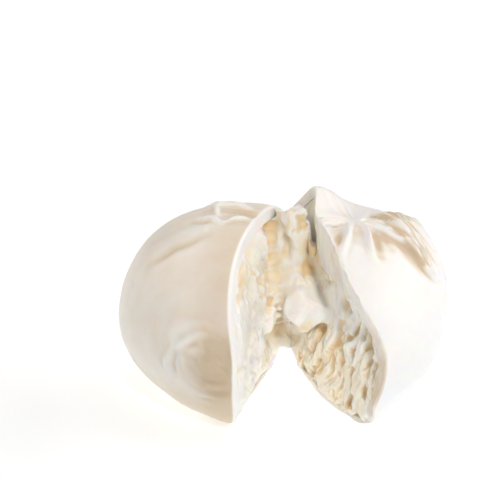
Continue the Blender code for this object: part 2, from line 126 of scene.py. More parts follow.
# Painted shade on the crown: a line in plan, its half-width and its strength.
CROWN_PAINTED_SHADE = [
    ([(19.0, -14.2), (21.6, -18.2), (24.0, -21.8)], 2.3, 0.9),
    ([(16.0, -6.0), (20.0, -4.0)], 2.4, 0.5),
    ([(7.0, -14.0), (4.0, -17.0)], 1.8, 0.5),
]
# The fan of fibres that lies over the right shoulder: its left edge and its front edge in
# plan, its height, and how much its fibres lean.
FAN_LEFT = [(2, 19.0), (-3, 20.4), (-12, 21.6), (-19, 23.0), (-23, 25.0), (-26, 28.0)]
FAN_FRONT = [(24, -26.0), (28, -24.6), (31, -21.5), (34, -17.0)]
FAN_HEIGHT = 2.2 * MM
FAN_LEAN = 0.26
KNOT = np.array((12.7, -4.0)) * MM  # where the folds of the crown meet, in plan

# The dimple at the front of the left half, and its curved wrinkles as points (x, z).
DIMPLE_AT = np.array((-9, -41, 31.5)) * MM
DIMPLE_RADIUS = 10 * MM
DIMPLE_DEPTH = 3.2 * MM
LIP_AT = np.array((-14.5, -39, 39.5)) * MM
LIP_RADIUS = 5.5 * MM
LIP_HEIGHT = 1.6 * MM
WRINKLES = [
    ([(-17.8, 35.6), (-15.8, 38.6), (-13.7, 40.3), (-8.6, 41.2)], 0.9, 0.9),
    ([(-16.4, 34.6), (-13.6, 37.6), (-9.5, 38.9)], 1.3, -1.2),
    ([(-9.9, 38.2), (-9.6, 35.6)], 0.8, -0.8),
    ([(-11.6, 37.6), (-11.2, 36.2)], 0.9, 0.6),
    ([(-21.4, 30.6), (-21.0, 33.7), (-18.9, 36.8)], 0.7, 0.7),
    ([(-20.0, 34.0), (-20.3, 29.3), (-19.4, 25.0)], 0.8, -0.8),
    ([(-22.9, 27.4), (-22.4, 30.0), (-22.0, 32.4)], 0.6, 0.6),
    ([(-23.8, 31.0), (-23.5, 27.0)], 0.7, -0.6),
    ([(-17.6, 33.6), (-17.4, 29.6), (-16.6, 26.0)], 0.8, 0.5),
    ([(-14.6, 33.0), (-13.8, 29.4)], 0.8, -0.5),
    ([(-9.0, 33.6), (-7.4, 32.6)], 0.7, 0.5),
    ([(-6.6, 34.4), (-4.6, 31.8)], 0.7, 0.5),
    ([(-27.6, 33.1), (-20.0, 39.5), (-12.2, 45.3)], 4.0, 0.7),
    ([(-8.4, 21.0), (-1.6, 23.4)], 0.9, -0.6),
    ([(-10.2, 22.6), (-3.0, 25.2)], 0.8, 0.5),
    ([(-12.0, 18.0), (-4.0, 19.0)], 1.0, -0.4),
    ([(-5.0, 29.4), (-0.5, 29.0)], 0.7, 0.6),
]
SHADED_AT = np.array((-4, -41, 30)) * MM  # the shaded part of the dimple
# Beads of cream and small dents: place, radius and height.
BEADS = [
    ((2.6, -35.0, 45.5), 1.3, 0.6),
    ((2.2, -36.5, 41.5), 0.9, 0.4),
    ((-37.4, -19.1, 18.0), 2.2, -0.7),
    ((-12.6, -13.0, 62.5), 1.0, 0.4),
    ((-35.8, -20.7, 45.1), 1.0, -0.3),
]
# Fine relief of the skin: the width of the folds and their height.
FAN_FIBRES = (1.5 * MM, 0.85 * MM)
KNOT_FOLDS = (1.8 * MM, 0.16 * MM)
LEFT_FOLDS = (1.8 * MM, 0.3 * MM)
DIMPLE_FOLDS = (2.0 * MM, 0.13 * MM)
SLOW_WAVES = (14 * MM, 0.22 * MM)
SHORT_WAVES = (5 * MM, 0.08 * MM)
# The skin's tone, from 0 for pale to 1 for deep: all over, then the painted shade on the left
# half, and on it more painted shade near the cut, at the foot and in the dimple.
SKIN_TONE, LEFT_SHADE, NEAR_CUT_SHADE, FOOT_SHADE, DIMPLE_SHADE = 0.12, 0.24, 0.28, 0.4, 0.45
# Painted shade on the skin's right cut face by height in mm, and painted light on the left one.
RIGHT_FACE_SHADES = ((6, 18, 30, 50), (0.3, 0.75, 0.55, 0.05))
LEFT_FACE_LIGHT = -1.0

# The back wall of the filling: height, and how far from the hinge its left and its right side
# stand.
WALL = [
    (1.5, 3.5, 3.5),
    (8, 8.5, 8.5),
    (16, 13, 13),
    (26, 16, 16),
    (36, 17, 18),
    (46, 17, 22.5),
    (57, 17, 24.5),
    (61, 16.5, 22),
]
WALL_RINGS = 20
WALL_SHARES = (0.06, 0.35, 0.7, 1.0)  # where its points stand between the hinge and its front
# Lumps on the left face: reach, height, half-width, half-length, lean and proudness.
FACE_CURDS = [
    (24.5, 50.5, 4.0, 7.0, 0, -2.0),
    (39.5, 40.5, 6.0, 6.0, 0, -3.2),
    (32.0, 28.0, 5.5, 5.5, 0, -2.6),
    (55.0, 36.0, 8.0, 12.0, -20, -5.2),
    (50.0, 11.0, 6.0, 3.6, 0, -1.9),
    (22.0, 42.0, 2.2, 9.0, 50, -0.7),
]
SPILL = 1 * MM  # how far a lump may pass the filling's outline
# Lumps on the back wall and in front of it: centre and radii.
WALL_LUMPS = [
    ((6.2, 6.4, 28.8), (9.0, 8.0, 9.0)),
    ((4.0, 12.0, 34.5), (8.6, 6.5, 6.0)),
    ((-6.4, 6.0, 24.6), (4.8, 5.0, 6.2)),
    ((-3.6, 12.0, 30.5), (6.0, 4.4, 6.4)),
    ((-0.3, 9.4, 24.6), (3.8, 3.8, 2.6)),
    ((1.2, 19.5, 9.5), (1.8, 2.2, 3.2)),
]
# Hollows between the lumps, painted with shade too: place, radius in plan, radius upwards and
# depth.
HOLLOWS = [
    ((7.2, 8.6, 46.5), 2.8, 6.5, 3.6),
    ((6.6, 11.4, 40.0), 2.2, 3.0, 1.4),
    ((-2.3, 15.0, 53.1), 2.6, 2.8, 1.0),
    ((-10.6, -5.8, 55.8), 4.2, 4.0, 2.4),
    ((-14.2, -18.0, 54.0), 3.2, 2.2, 1.2),
    ((-12.9, -16.3, 49.5), 4.5, 3.2, 1.8),
    ((-14.6, -28.0, 23.5), 6.0, 4.2, 3.2),
    ((-3.2, 15.6, 12.4), 4.4, 2.6, 2.8),
    ((10.2, 6.2, 21.6), 3.4, 2.4, 2.4),
    ((4.5, 0.0, 24.0), 5.0, 2.6, 0.8),
    ((7.9, 11.0, 21.5), 3.6, 3.0, 2.2),
    ((16.8, -11.3, 39.0), 2.0, 2.4, 1.6),
    ((16.2, -8.3, 19.2), 1.6, 3.4, 2.2),
    ((13.4, -2.1, 14.5), 1.6, 3.6, 2.2),
    ((10.3, 4.4, 8.5), 1.5, 2.6, 1.8),
    ((23.2, -24.0, 28.2), 1.8, 6.0, 2.2),
    ((25.5, -29.9, 20.0), 1.6, 5.0, 2.0),
]
# Where the curd is smooth: place, radius and how much.
CALM = [
    ((5.4, 3.5, 29.5), 9.5, 0.95),
    ((-12.4, -22.0, 34.0), 10.0, 0.9),
    ((-13.0, -19.0, 12.0), 8.0, 0.6),
    ((13.0, 0.0, 10.0), 6.0, 0.4),
    ((1.0, 14.0, 61.0), 6.0, 0.5),
    ((22.3, -19.8, 6.0), 6.0, 0.7),
    ((12.4, 1.5, 3.0), 5.0, 0.7),
    ((4.0, 8.0, 37.0), 8.0, 0.7),
    ((14.6, -5.0, 37.0), 6.0, 0.8),
    ((4.0, 19.0, 11.0), 6.0, 0.8),
]
# The torn surface: the size of each form, then its height or depth in mm.
FLAKE_SIZE, PIT_DEPTH = 2.2 * MM, 2.0
RIDGE_SIZE, RIDGE_HEIGHT, LEFT_RIDGE_HEIGHT = 1.5 * MM, 0.45, 0.1
SLOW_SIZE, RIGHT_SLOW, LEFT_SLOW = 9 * MM, 0.8, 0.7
LUMP_SIZE, LUMP_HEIGHT = 5 * MM, 1.1
SOFT_PIT_SIZE, SOFT_PIT_DEPTH = 5 * MM, 0.9
STRING_SIZE, STRING_HEIGHT = 2.8 * MM, 0.6
GRAIN_SIZE, GRAIN_HEIGHT = 1.1 * MM, 0.14 * MM
RIGHT_PROUD = 0.7
# The filling's tone: all over, then the painted shade that pits, torn forms and the right face's
# foot add, and the painted light on the flap at the left, which takes tone away.
CURD_TONE, PIT_SHADE, TORN_SHADE, LOW_SHADE, FLAP_LIGHT = 0.25, 0.4, 0.45, 0.24, 0.25

RIM_ROUND = (0.9 * MM, 1.4 * MM)  # at the left half's cut edge and the right half's
KNIFE_TEAR = 0.35 * MM  # how uneven the cut face of the right half is
BEHIND_SKIN = 0.9 * MM  # how far the filling's core reaches in behind the skin
CORE_DEEPER = 1.8 * MM  # how much deeper the core lies away from the cut
FACE_RECESS = 0.9 * MM  # how far the torn faces lie behind the planes of the cut
HIDDEN_RECESS = 0.3 * MM  # how far the hidden part of the filling is drawn in

# Meshes: the gap between rings as (from x, to x, gap), where the last row that fits counts.
PLAIN_RING_GAP = 0.85
RING_GAPS = [(-24, 14, 0.46), (-2, 2, 0.32), (14, 36, 0.31)]
POUCH_SPACING, HOLLOW_SPACING, CORE_SPACING, CORE_KNIFE_SPACING = 1.06, 2.0, 2.2, 2.0
VOXEL = 0.36 * MM
KEPT_SHARE = 0.38  # of the filling's faces, once its hidden part is thinned

# Materials: pale colour, deep colour, and how far light spreads inside.
SKIN_LOOK = ((0.975, 0.963, 0.945), (0.72, 0.60, 0.44), 0.5 * MM)
CURD_LOOK = ((0.99, 0.98, 0.945), (0.85, 0.68, 0.42), 0.8 * MM)
ROUGHNESS, IOR = 0.38, 1.4
GLOW, GLOW_RADIUS = 0.7, (1.0, 0.78, 0.5)
CLOUD_SCALE, CLOUD_SHARE = 160, 0.3
TONE_RANGE = (0.25, 1.05)
GRAIN_SCALE, GRAIN_STRENGTH, GRAIN_DISTANCE = 900, 0.25, 0.1 * MM
FLOOR_COLOUR, FLOOR_GLOW_COLOUR, FLOOR_GLOW = (0.95, 0.97, 0.99), (0.92, 0.96, 1.0), 0.48
SKY_COLOUR, SKY_STRENGTH = (1.0, 0.75, 0.5), 0.08
# Lights: name, place, aim, watts, colour, size, and a cone in degrees for a spotlight.
MIDDLE = (0, 0, 0.03)
LIGHTS = [
    ("key", (0.95, -0.2, 0.6), MIDDLE, 3.4, (0.94, 0.97, 1.0), 0.6, 0),
    ("back", (0.75, 0.45, 0.6), MIDDLE, 2.5, (1.0, 0.98, 0.96), 0.6, 0),
    ("side", (-0.85, 0.3, 0.5), MIDDLE, 3.9, (1.0, 0.94, 0.84), 0.8, 0),
    ("top", (0, 0, 1.0), MIDDLE, 2.5, (0.98, 0.97, 1.0), 0.8, 0),
    ("fill", (0.12, -0.55, 0.52), (0.003, 0.004, 0.036), 112.0, (1.0, 0.95, 0.9), 0.05, 3.2),
]
# The camera: its tilt and distance, the picture's width, the size of a pixel at the hinge line,
# and the pixel where the foot of the hinge line falls.
CAMERA_TILT, CAMERA_DISTANCE = math.radians(26.04), 0.66
PICTURE = 480
PIXEL = 0.000334
HINGE_PIXEL = (284.17, 351.08)


def smoothstep(t):
    t = np.clip(t, 0.0, 1.0)
    return t * t * (3 - 2 * t)


def noise(points, size, seed=0):
    """Smooth noise from -1 to 1 that changes over a length, the same on every run."""
    cells = points / size
    corner = np.floor(cells)
    t = cells - corner
    t = t * t * t * (t * (t * 6 - 15) + 10)
    corner = corner.astype(np.int64)
    total = np.zeros(len(points))
    for step in itertools.product((0, 1), repeat=3):
        key = (corner + np.array(step) + 7919 * (seed + 1)).astype(np.uint32)
        mixed = key[:, 0] * np.uint32(73856093)
        mixed ^= key[:, 1] * np.uint32(19349663)
        mixed ^= key[:, 2] * np.uint32(83492791)
        mixed ^= mixed >> np.uint32(13)
        mixed *= np.uint32(1274126177)
        mixed ^= mixed >> np.uint32(16)
        value = (mixed & np.uint32(65535)) / 32767.5 - 1
        share = np.prod(np.where(step, t, 1 - t), axis=1)
        total += value * share
    return total


def layered_noise(points, size, octaves, seed=0):
    return sum(noise(points, size / 2**k, seed + k) / 2**k for k in range(octaves))


def closed_ball(unit, inset=0.0, base_inset=0.0):
    """Points on the closed ball, or on a surface drawn in from it, for unit directions."""
    plan = np.hypot(unit[:, 0], unit[:, 1])
    toward = unit[:, :2] / np.maximum(plan, 1e-9)[:, None]
    rise = unit[:, 2]
    radius = (BALL_RADIUS - inset) * plan**PLAN_POWER
    above = (BALL_HEIGHT - WIDEST_HEIGHT - inset) * np.maximum(rise, 0) ** TOP_POWER
    power = np.full(len(unit), BASE_POWER)
    for angle, fade, more in BASE_SHAPES:
        way = np.array((math.cos(math.radians(angle)), math.sin(math.radians(angle))))
        power += more * smoothstep((toward @ way - fade) / (1 - fade))
    below = (WIDEST_HEIGHT + BASE_SINK - base_inset) * np.maximum(-rise, 0) ** power
    z = np.maximum(WIDEST_HEIGHT + above - below, base_inset)
    x, y = (toward * radius[:, None]).T
    shoulder = RIGHT_SHOULDER * (np.maximum(x, 0) / BALL_RADIUS) ** 2
    x, y = x + CENTRE_X, y * DEPTH_RATIO
    z += (z - base_inset) * (shoulder - FRONT_LIFT * y / BALL_RADIUS)
    away = np.hypot(x - CROWN_SAG_AT[0], y - CROWN_SAG_AT[1]) / CROWN_SAG_REACH
    z -= CROWN_SAG * np.exp(-(away**2)) * smoothstep(z / BALL_HEIGHT * 2 - 0.8)
    return np.column_stack([x, y, z])


def crease(u, v, line, half_width, height):
    """A ridge or a valley along a line of points, fading out at both ends."""
    line = [np.array(p) * MM for p in line]
    away = np.full(len(u), 1.0)
    for (au, av), (bu, bv) in zip(line[:-1], line[1:]):
        length = math.hypot(bu - au, bv - av)
        t = np.clip(((u - au) * (bu - au) + (v - av) * (bv - av)) / length**2, 0, 1)
        away = np.minimum(away, np.hypot(u - au - t * (bu - au), v - av - t * (bv - av)))
    ridge = height * MM * np.exp(-((away / (half_width * MM)) ** 2))
    for end in (line[0], line[-1]):
        near = np.hypot(u - end[0], v - end[1]) / (2.2 * half_width * MM)
        ridge *= 1 - 0.7 * np.exp(-(near**2))
    return ridge


def fan_share(x, y):
    """1 on the fan of fibres right of the knot, 0 away from it."""
    left = np.interp(-y, *np.array([(-v, u) for v, u in FAN_LEFT]).T * MM)
    front = np.interp(x, *np.array(FAN_FRONT).T * MM)
    share = smoothstep((x - left) / (1.4 * MM)) * smoothstep((y - front) / (2.4 * MM))
    return share * smoothstep((5 * MM - y) / (7 * MM)) * smoothstep((39 * MM - x) / (11 * MM))


def half_share(x, side, start):
    """1 on one half and 0 on the other: the side is 1 right of the cut and -1 left of it."""
    return smoothstep(side * x / (2 * MM) + start)


def top_share(z):
    """1 on the top of the ball and 0 on its sides."""
    return smoothstep((z - 0.6 * BALL_HEIGHT) / (0.2 * BALL_HEIGHT))


def wander(points):
    """A small shift in two coordinates, which bends folds out of their lines."""
    return np.array([noise(points, 5 * MM, 31 + i) for i in (0, 1)]) * 0.5 * MM


def crown(points, shift, line, half_width, height):
    """A ridge or a valley of the crown, on its own half only."""
    x, y, _ = points.T
    side = 1 if line[-1][0] > 0 else -1
    ridge = crease(x + shift[0], y + shift[1], line, half_width, height)
    return ridge * half_share(x, side, 0.4)


def fan_strands(points):
    """The fibres of the fan: 1 on a fibre's back, less than 0 between fibres."""
    x, y, z = points.T
    bend = 1.2 * MM * noise(points, 9 * MM, 12)
    fibres = np.column_stack([x + FAN_LEAN * y + bend, y / 8, z / 8])
    return 1 - np.abs(layered_noise(fibres, FAN_FIBRES[0], 2, 11)) * 2.0


def relief(points):
    """How far the pouch's outside stands proud of the plain ball, along its normal."""
    x, y, z = points.T
    shift = wander(points)
    out = sum(crown(points, shift, *feature) for feature in CROWN)
    out += FAN_HEIGHT * fan_share(x + shift[0], y + shift[1])
    out *= smoothstep((z - 0.55 * BALL_HEIGHT) / (0.15 * BALL_HEIGHT))
    front = smoothstep(-y / (12 * MM) - 1.2) * half_share(x, -1, 0.3)
    for line, half_width, height in WRINKLES:
        out += crease(x + shift[0], z + shift[1], line, half_width, height) * front
    for centre, radius, height in (
        (DIMPLE_AT, DIMPLE_RADIUS, -DIMPLE_DEPTH),
        (LIP_AT, LIP_RADIUS, LIP_HEIGHT),
    ):
        away = np.linalg.norm(points - centre, axis=1)
        out += height * smoothstep(1.4 - away / radius) * smoothstep(-x / (3 * MM))
    for centre, radius, height in BEADS:
        away = np.linalg.norm(points - np.array(centre) * MM, axis=1) / (radius * MM)
        out += height * MM * np.exp(-(away**2))
    return out


def fine_relief(points):
    """Fibres of the fan and the crown, and the slow waves of soft curd."""
    x, y, z = points.T
    top = top_share(z)
    out = FAN_FIBRES[1] * (fan_share(x, y) * top) * fan_strands(points)
    out *= smoothstep((38 * MM - x) / (9 * MM))
    # Folds that run out from the knot.
    away = np.hypot(x - KNOT[0], y - KNOT[1])
    angle = np.arctan2(y - KNOT[1], x - KNOT[0])
    polar = np.column_stack([angle * 12 * MM, away * 0.12, np.zeros(len(x))])
    round_knot = top * half_share(x, 1, 0.4) * smoothstep((24 * MM - away) / (12 * MM))
    width, height = KNOT_FOLDS
    out += height * round_knot * layered_noise(polar, width, 2, 17)
    # Folds along the flap on the left half.
    left_crown = top * half_share(x, -1, 0.4)
    left_crown *= smoothstep(1.6 - np.hypot(x + 10 * MM, y) / (10 * MM))
    threads = np.column_stack([x / 6 - y / 12, y, z])
    width, height = LEFT_FOLDS
    out += height * left_crown * layered_noise(threads, width, 2, 19)
    # Folds round the dimple.
    dimple = np.linalg.norm(points - DIMPLE_AT, axis=1)
    turned = np.column_stack([dimple, (z - DIMPLE_AT[2]) / 5, x / 5])
    wrinkled = smoothstep(2.1 - dimple / (9 * MM)) * half_share(x, -1, 0.3)
    width, height = DIMPLE_FOLDS
    out += height * wrinkled * layered_noise(turned, width, 2, 21)
    for seed, (width, height) in ((3, SLOW_WAVES), (4, SHORT_WAVES)):
        out = out + height * noise(points, width, seed)
    return out


def opening_at(z):
    """How far the left and the right half turn at a height."""
    foot = np.exp(-np.maximum(z, 0) / FOOT_HEIGHT)
    top = smoothstep((z / BALL_HEIGHT - 0.5) * 2)
    return [np.radians(m + f * foot + t * top) for m, f, t in (LEFT_OPENING, RIGHT_OPENING)]


def open_up(points):
    """Turns each half of the cut ball outwards round the hinge line."""
    x, y, z = points.T.copy()
    right = x > 0.3 * KNIFE_HALF
    along = ((x - PEAK_AT[0]) / PEAK_REACH[0]) ** 2 + ((y - PEAK_AT[1]) / PEAK_REACH[1]) ** 2
    peak = right * np.exp(-along) * smoothstep((z / BALL_HEIGHT - 0.5) * 3)
    toe = right * np.exp(-((z / TOE_HEIGHT) ** 2) - (x / TOE_WIDTH) ** 2)
    toe *= smoothstep(-y / (0.5 * BALL_RADIUS))
    z += PEAK_HEIGHT * peak
    reach = np.hypot(x, y - HINGE_Y) + TOE_FORWARD * toe
    sweep = np.arctan2(x, HINGE_Y - y)
    left, right = opening_at(z)
    kept = 1 - smoothstep((np.abs(sweep) - RIGID_SWEEP) / (math.pi - RIGID_SWEEP))
    sweep += np.where(sweep > 0, right + TOE_TURN * toe, -left) * kept
    sweep += PEAK_PEEL * peak / np.maximum(reach, 5 * MM)
    return np.column_stack([reach * np.sin(sweep), HINGE_Y - reach * np.cos(sweep), z])


def face_frame(side, reach, z):
    """A point on a face of the cut, and the directions along it and out of it, in plan."""
    left, right = opening_at(z)
    turn = right if side > 0 else -left
    along = Vector((math.sin(turn), -math.cos(turn), 0))
    out = Vector((-math.cos(turn), -math.sin(turn), 0)) * side
    return Vector((0, HINGE_Y, z)) + along * reach, along, out


def mesh_vectors(mesh, kind):
    values = np.empty(len(mesh.vertices) * 3)
    mesh.vertices.foreach_get(kind, values)
    return values.reshape(-1, 3)


def mesh_points(mesh):
    return mesh_vectors(mesh, "co")


def mesh_normals(mesh):
    return mesh_vectors(mesh, "normal")


def move_points(mesh, points):
    mesh.vertices.foreach_set("co", points.astype(np.float32).ravel())
    mesh.update()


def new_object(name, mesh):
    obj = bpy.data.objects.new(name, mesh)
    bpy.context.scene.collection.objects.link(obj)
    return obj


def mesh_of(name, points, faces):
    mesh = bpy.data.meshes.new(name)
    mesh.from_pydata(points.tolist(), [], faces)
    mesh.update()
    return mesh


def apply_modifiers(obj):
    graph = bpy.context.evaluated_depsgraph_get()
    mesh = bpy.data.meshes.new_from_object(obj.evaluated_get(graph))
    obj.modifiers.clear()
    obj.data = mesh


def cut(obj, cutters):
    """Takes the cutters out of an object, and removes them."""
    for cutter in cutters:
        modifier = obj.modifiers.new("cut", "BOOLEAN")
        modifier.operation, modifier.solver = "DIFFERENCE", "MANIFOLD"
        modifier.object = cutter
    apply_modifiers(obj)
    for cutter in cutters:
        bpy.data.objects.remove(cutter)


def spread(low, high, gap):
    """Values from low to high whose spacing follows gap(value)."""
    fine = np.linspace(low, high, 4001)
    count = np.concatenate([[0], np.cumsum(np.diff(fine) / gap((fine[1:] + fine[:-1]) / 2))])
    return np.interp(np.linspace(0, count[-1], max(8, int(round(count[-1])) + 1)), count, fine)


def ring_quads(rings, around):
    """The points' numbers, ring by ring, and the quads between rings that follow each other."""
    index = np.arange(rings * around).reshape(rings, around)
    a, b = index[:-1], index[1:]
    return index, np.stack([a, np.roll(a, -1, 1), np.roll(b, -1, 1), b], -1).reshape(-1, 4)


def sliced_ball(name, coarse, inset=(0.0, 0.0), base_inset=0.0, deeper=0.0):
    """A ball whose rings lie in planes across the X axis, so that one ring meets the cut.

    It is drawn in by the inset left and right of the cut, and by more away from the cut.
    """

    def tilt_gap(tilt):
        x = CENTRE_X + BALL_RADIUS * np.sin(tilt)
        gap = np.full(len(x), PLAIN_RING_GAP * MM)
        for low, high, finer in RING_GAPS:
            gap = np.where((x >= low * MM) & (x < high * MM), finer * MM, gap)
        return gap * coarse / BALL_RADIUS

    def turn_gap(turn):
        """Finer over the front and the top, and finest at the crown."""
        fine = smoothstep((1.8 - np.abs(turn - 0.7)) / 0.4)
        finest = smoothstep((0.65 - np.abs(turn - 1.4)) / 0.2)
        return (1.9 - 1.25 * fine - 0.22 * finest) * MM * coarse / BALL_RADIUS

    tilts = spread(-math.pi / 2, math.pi / 2, tilt_gap)[1:-1]
    turns = spread(0.7 - math.pi, 0.7 + math.pi, turn_gap)[:-1]
    tilt, turn = np.meshgrid(tilts, turns, indexing="ij")
    x = (BALL_RADIUS * np.sin(tilt)).ravel()
    turn = turn.ravel()
    # Undoes the power of the ball's plan, so that each ring stays in its plane.
    across = x / BALL_RADIUS
    for _ in range(15):
        side = np.sqrt(1 - across**2)
        plan = np.hypot(across, side * np.cos(turn))
        across = np.clip(x / BALL_RADIUS * plan ** (1 - PLAN_POWER), -1, 1)
    side = np.sqrt(1 - across**2)
    unit = np.column_stack([across, -side * np.cos(turn), side * np.sin(turn)])
    unit = np.vstack([unit, (-1, 0, 0), (1, 0, 0)])
    index, quads = ring_quads(len(tilts), len(turns))
    first, last = index.size, index.size + 1
    low, high = index[0], index[-1]
    caps = [(int(p), int(q), first) for p, q in zip(low, np.roll(low, -1))]
    caps += [(int(q), int(p), last) for p, q in zip(high, np.roll(high, -1))]
    faces = quads[:, ::-1].tolist() + caps
    x = closed_ball(unit)[:, 0]
    deeper = deeper * smoothstep((np.abs(x) - 2 * MM) / (3 * MM))
    points = closed_ball(unit, np.where(x < 0, *inset) + deeper, base_inset)
    return new_object(name, mesh_of(name, points, faces)), unit


def rim_round(points):
    """How far an edge of the cut is rounded away at each point."""
    radius = np.where(points[:, 0] < 0, *RIM_ROUND)
    near = np.clip(radius - np.abs(points[:, 0]), 0, radius)
    drop = radius - np.sqrt(radius**2 - near**2)
    return drop * smoothstep((HINGE_Y - points[:, 1]) / (8 * MM))


def knife(coarse):
    """A thin upright wedge from well in front of the ball to the hinge line."""
    bm = bmesh.new()
    steps = int(150 / coarse)
    bmesh.ops.create_grid(bm, x_segments=steps, y_segments=steps, size=0.5)
    front, top = -1.3 * BALL_RADIUS, 1.4 * BALL_HEIGHT
    for v in bm.verts:
        along, up = v.co.x + 0.5, v.co.y + 0.5
        v.co = (0, HINGE_Y + (front - HINGE_Y) * along, -0.1 * top + 1.1 * top * up)
    grown = bmesh.ops.extrude_face_region(bm, geom=bm.faces[:])
    moved = {v for v in grown["geom"] if isinstance(v, bmesh.types.BMVert)}
    places = np.array([v.co for v in bm.verts])
    torn = layered_noise(places * (1, 1.0, 0.45) + 0.5 * places[:, [2, 0, 1]], 3.5 * MM, 3, 33)
    torn = KNIFE_TEAR * (1 + np.clip(torn, -1, 1)) * smoothstep((HINGE_Y - places[:, 1]) / (9 * MM))
    for v, deep in zip(bm.verts, torn):
        v.co.x = KNIFE_HALF + deep if v in moved else -KNIFE_HALF
        if v.co.y > HINGE_Y - 1e-6:
            v.co.x = 0
    bmesh.ops.remove_doubles(bm, verts=bm.verts, dist=1e-6)
    bmesh.ops.recalc_face_normals(bm, faces=bm.faces)
    mesh = bpy.data.meshes.new("knife")
    bm.to_mesh(mesh)
    bm.free()
    return new_object("knife", mesh)


def neck(grow):
    """The block of solid curd from the neck's underside up through the crown."""
    y, z = np.array(NECK).T * MM
    # Six points for each one in the list, which averaging then rounds off.
    along = np.linspace(0, len(y) - 1, 6 * len(y))
    y, z = (np.interp(along, np.arange(len(y)), v) for v in (y, z))
    for _ in range(12):
        for v in (y, z):
            v[1:-1] = (v[:-2] + 2 * v[1:-1] + v[2:]) / 4
    share = np.linspace(0, 1, 13)
    y, share = np.meshgrid(y, share, indexing="ij")
    x = NECK_REACH * share - KNIFE_HALF / 3
    low = np.stack([x, y, z[:, None] + NECK_RISE * share**3 - grow], -1)
    high = low * (1, 1, 0) + (0, 0, 2 * BALL_HEIGHT)
    rows, columns = x.shape
    index = np.arange(rows * columns).reshape(rows, columns)
    a, b, c, d = index[:-1, :-1], index[1:, :-1], index[1:, 1:], index[:-1, 1:]
    under = np.stack([a, b, c, d], -1).reshape(-1, 4)
    over = under[:, ::-1] + rows * columns
    rim = np.concatenate([index[0, :-1], index[:-1, -1], index[-1, :0:-1], index[:0:-1, 0]])
    after = np.roll(rim, -1)
    walls = np.stack([rim, after, after + rows * columns, rim + rows * columns], -1)
    points = np.concatenate([low.reshape(-1, 3), high.reshape(-1, 3)])
    faces = np.concatenate([under, over, walls])
    return new_object("neck", mesh_of("neck", points, faces.tolist()))


def sunk(mesh, rounds):
    """How far each point lies below its surroundings, out to a number of edges."""
    points, normals = mesh_points(mesh), mesh_normals(mesh)
    around = np.column_stack([neighbour_mean(mesh, axis, rounds) for axis in points.T])
    return np.sum((around - points) * normals, axis=1)


def set_tone(mesh, tone):
    attribute = mesh.attributes.new("tone", "FLOAT", "POINT")
    attribute.data.foreach_set("value", np.clip(tone, 0, 1).astype(np.float32))


def pit_share(mesh, rounds, depth, least):
    """From the least value, on what stands proud, to 1 in a pit of the given depth."""
    return np.clip(sunk(mesh, rounds) / depth, least, 1)


def pouch_shape():
    """The skin before it is opened: the outside with its folds, less the hollow and the cut."""
    coarse = 1.0
    pouch, unit = sliced_ball("pouch_skin", POUCH_SPACING * coarse)
    points = mesh_points(pouch.data)
    outward = relief(points) + fine_relief(points)
    flat = smoothstep(points[:, 2] / (2 * MM))
    lifted = points + unit * (outward - rim_round(points))[:, None] * flat[:, None]
    move_points(pouch.data, lifted)
    hollow, unit = sliced_ball("hollow", HOLLOW_SPACING * coarse, SKIN, BASE_SKIN)
    points = mesh_points(hollow.data)
    # Wider at the cut, so that the skin's inner edge is rounded too.
    move_points(hollow.data, points + unit * rim_round(points)[:, None] * 0.8)
    cut(hollow, [neck(0)])
    cut(pouch, [hollow, knife(coarse)])
    return pouch


def skin_tone(mesh):
    """The skin's tone: painted shade on the left half, in the folds and on the right cut face."""
    points = mesh_points(mesh)
    x, y, z = points.T
    high = top_share(z)
    right = x > 0
    face = smoothstep((np.where(right, 1.7, 1.3) * MM - np.abs(x)) / (0.9 * MM))
    face *= smoothstep((HINGE_Y - y) / (9 * MM))
    # The left half's painted shade stops at the cut, and blends into the right half round the back.
    blend = 0.4 * MM + 50 * MM * smoothstep((y - 16 * MM) / (18 * MM))
    left = 1 - smoothstep(0.5 + x / blend)
    left_front = left * smoothstep((22 * MM - y) / (30 * MM))
    # Painted shade on the left half, stronger near its cut and at its foot.
    tone = SKIN_TONE + LEFT_SHADE * left
    tone += left_front * NEAR_CUT_SHADE * smoothstep((16 * MM + x) / (12 * MM))
    tone += left_front * FOOT_SHADE * smoothstep((26 * MM - z) / (16 * MM))
    # Painted shade in pits and creases of the skin, less on the cut faces and on the left half.
    pit = pit_share(mesh, 4, 0.12 * MM, -0.6) * (0.3 - 0.18 * left)
    pit += pit_share(mesh, 20, 0.7 * MM, -0.5) * (0.4 - 0.2 * left)
    tone += pit * (1 - 0.7 * face)
    # Painted shade over the fan, most between its fibres, and in the crown's valleys, painted light
    # on its ridges.
    fan = fan_share(x, y) * high * (0.35 + 0.65 * smoothstep((31 * MM - x) / (8 * MM)))
    tone += fan * (0.95 - 0.8 * fan_strands(points))
    shift = wander(points)
    for line, half_width, strength in CROWN_PAINTED_SHADE:
        tone += high * crown(points, shift, line, half_width, strength / MM)
    wider, full_height, most = CROWN_FOLD_SHADING
    for line, half_width, height in CROWN:
        strength = -math.copysign(min(abs(height) / full_height, most), height)
        tone += high * crown(points, shift, line, wider * half_width, strength / MM)
    heights, tones = RIGHT_FACE_SHADES
    right_face_shade = np.interp(z, np.array(heights) * MM, tones)
    # Painted shade on the right cut face, and painted light that makes the left cut face palest.
    tone += np.where(right, right_face_shade, LEFT_FACE_LIGHT) * face
    # Painted shade in the dimple, near the cut.
    shaded = np.linalg.norm(points - SHADED_AT, axis=1)
    tone += DIMPLE_SHADE * left * smoothstep(1.6 - shaded / (10 * MM))
    return tone


def make_pouch():
    pouch = pouch_shape()
    mesh = pouch.data
    set_tone(mesh, skin_tone(mesh))
    move_points(mesh, open_up(mesh_points(mesh)) - ORIGIN)
    mesh.shade_smooth()
    mesh.set_sharp_from_angle(angle=math.radians(50))
    return pouch


